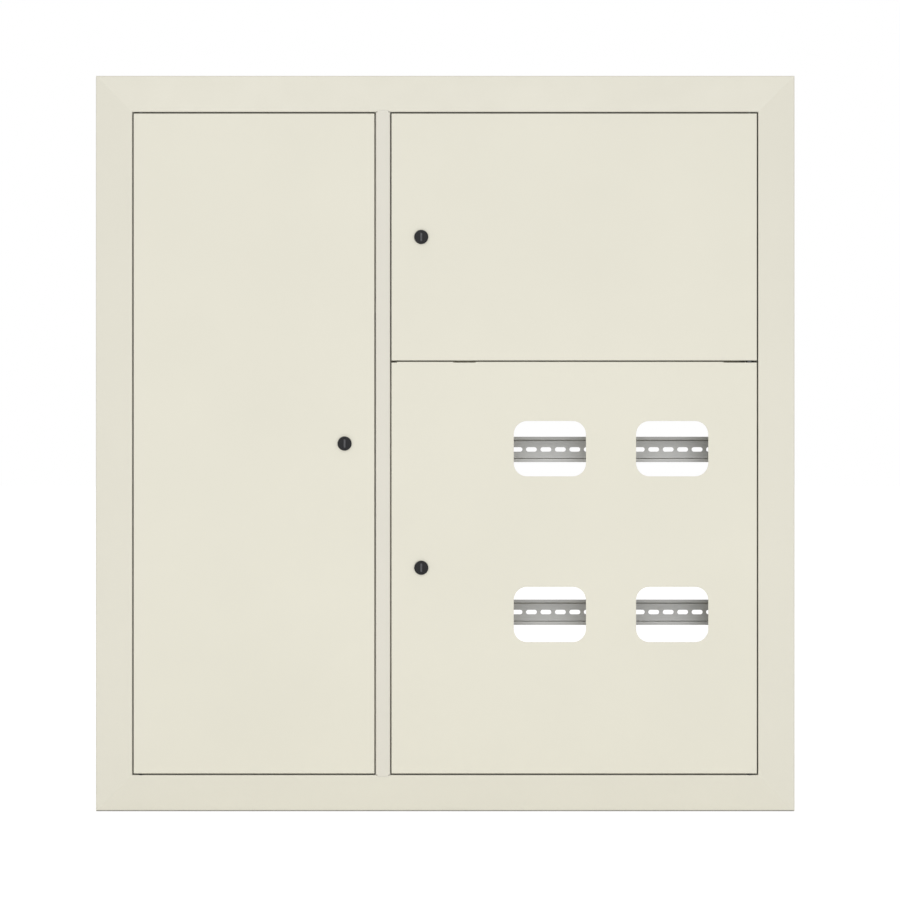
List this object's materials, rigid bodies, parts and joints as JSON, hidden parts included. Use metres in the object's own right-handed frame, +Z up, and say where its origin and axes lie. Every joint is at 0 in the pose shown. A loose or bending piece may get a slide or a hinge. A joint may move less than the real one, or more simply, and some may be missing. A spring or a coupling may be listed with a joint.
{
  "type": "floor distribution board",
  "caption": "Flush-mounted floor distribution board: sloping sheet-steel frame, a tall plain door, a breaker door and a meter door with windows, each with a quarter-turn lock.",
  "frame": {"origin": "centre of the four wall fixing holes, on the rear plane of the recess box", "axes": "+Z up, +Y into the wall, +X to the right as seen from the front"},
  "size_m": [0.95, 0.1425, 1],
  "materials": {
    "frame_coat": "warm grey-white powder coat, fine orange peel, satin",
    "door_coat": "warm grey-white powder coat, fine orange peel, satin",
    "box_coat": "warm grey-white powder coat, fine orange peel, satin",
    "galvanised": "galvanised sheet, faint spangle",
    "rail_zinc": "bright zinc plate",
    "zinc_steel": "zinc plated steel",
    "lock_black": "black, satin",
    "shutter_steel": "dull grey steel",
    "bar_brass": "extruded brass",
    "insulator": "blue moulded plastic",
    "nylon_black": "black nylon"
  },
  "bodies": {
    "enclosure": {"breaker_cover": "box_coat", "breaker_rail_lower": "rail_zinc", "breaker_rail_upper": "rail_zinc", "centre_stile": "frame_coat", "comms_plate": "box_coat", "comms_straps": "galvanised", "cover_pillars": "zinc_steel", "cover_screws": "zinc_steel", "crossbar": "frame_coat", "earth_bar": "bar_brass", "earth_bar_spacers": "zinc_steel", "earth_nuts": "zinc_steel", "earth_stud": "zinc_steel", "frame_screws": "zinc_steel", "front_frame": "frame_coat", "hinge_lug": "zinc_steel", "hinge_pins": "zinc_steel", "hinge_washers": "nylon_black", "meter_rail_lower_left": "rail_zinc", "meter_rail_lower_right": "rail_zinc", "meter_rail_upper_left": "rail_zinc", "meter_rail_upper_right": "rail_zinc", "neutral_bar": "bar_brass", "neutral_insulators": "insulator", "partition": "box_coat", "plate_screws": "zinc_steel", "post_left": "galvanised", "post_middle": "galvanised", "post_right": "galvanised", "rail_screws": "zinc_steel", "terminal_screws": "zinc_steel", "wall_bottom": "box_coat", "wall_left": "box_coat", "wall_right": "box_coat", "wall_top": "box_coat"},
    "left_door": {"left_door_panel": "door_coat", "left_door_hinge_plates": "zinc_steel", "left_lock_barrel": "lock_black", "left_lock_nut": "zinc_steel"},
    "left_lock": {"left_lock_rotor": "lock_black", "left_lock_shutter": "shutter_steel", "left_lock_cam": "zinc_steel", "left_lock_cam_screw": "zinc_steel"},
    "upper_door": {"upper_door_panel": "door_coat", "upper_door_hinge_plates": "zinc_steel", "upper_lock_barrel": "lock_black", "upper_lock_nut": "zinc_steel"},
    "upper_lock": {"upper_lock_rotor": "lock_black", "upper_lock_shutter": "shutter_steel", "upper_lock_cam": "zinc_steel", "upper_lock_cam_screw": "zinc_steel"},
    "lower_door": {"lower_door_panel": "door_coat", "lower_door_hinge_plates": "zinc_steel", "lower_lock_barrel": "lock_black", "lower_lock_nut": "zinc_steel"},
    "lower_lock": {"lower_lock_rotor": "lock_black", "lower_lock_shutter": "shutter_steel", "lower_lock_cam": "zinc_steel", "lower_lock_cam_screw": "zinc_steel"}
  },
  "joints": [
    {"name": "left_door_swing", "type": "hinge", "parent": "enclosure", "child": "left_door", "pos_m": [-0.413, -0.135, 0], "axis": [0, 0, -1], "range_deg": [0, 110]},
    {"name": "upper_door_swing", "type": "hinge", "parent": "enclosure", "child": "upper_door", "pos_m": [0.413, -0.135, 0.28025], "axis": [0, 0, 1], "range_deg": [0, 110]},
    {"name": "lower_door_swing", "type": "hinge", "parent": "enclosure", "child": "lower_door", "pos_m": [0.413, -0.135, -0.1685], "axis": [0, 0, 1], "range_deg": [0, 110]},
    {"name": "left_lock_turn", "type": "hinge", "parent": "left_door", "child": "left_lock", "pos_m": [-0.1365, -0.14, 0], "axis": [0, -1, 0], "range_deg": [0, 90]},
    {"name": "upper_lock_turn", "type": "hinge", "parent": "upper_door", "child": "upper_lock", "pos_m": [-0.0325, -0.14, 0.28025], "axis": [0, 1, 0], "range_deg": [0, 90]},
    {"name": "lower_lock_turn", "type": "hinge", "parent": "lower_door", "child": "lower_lock", "pos_m": [-0.0325, -0.14, -0.1685], "axis": [0, 1, 0], "range_deg": [0, 90]}
  ]
}
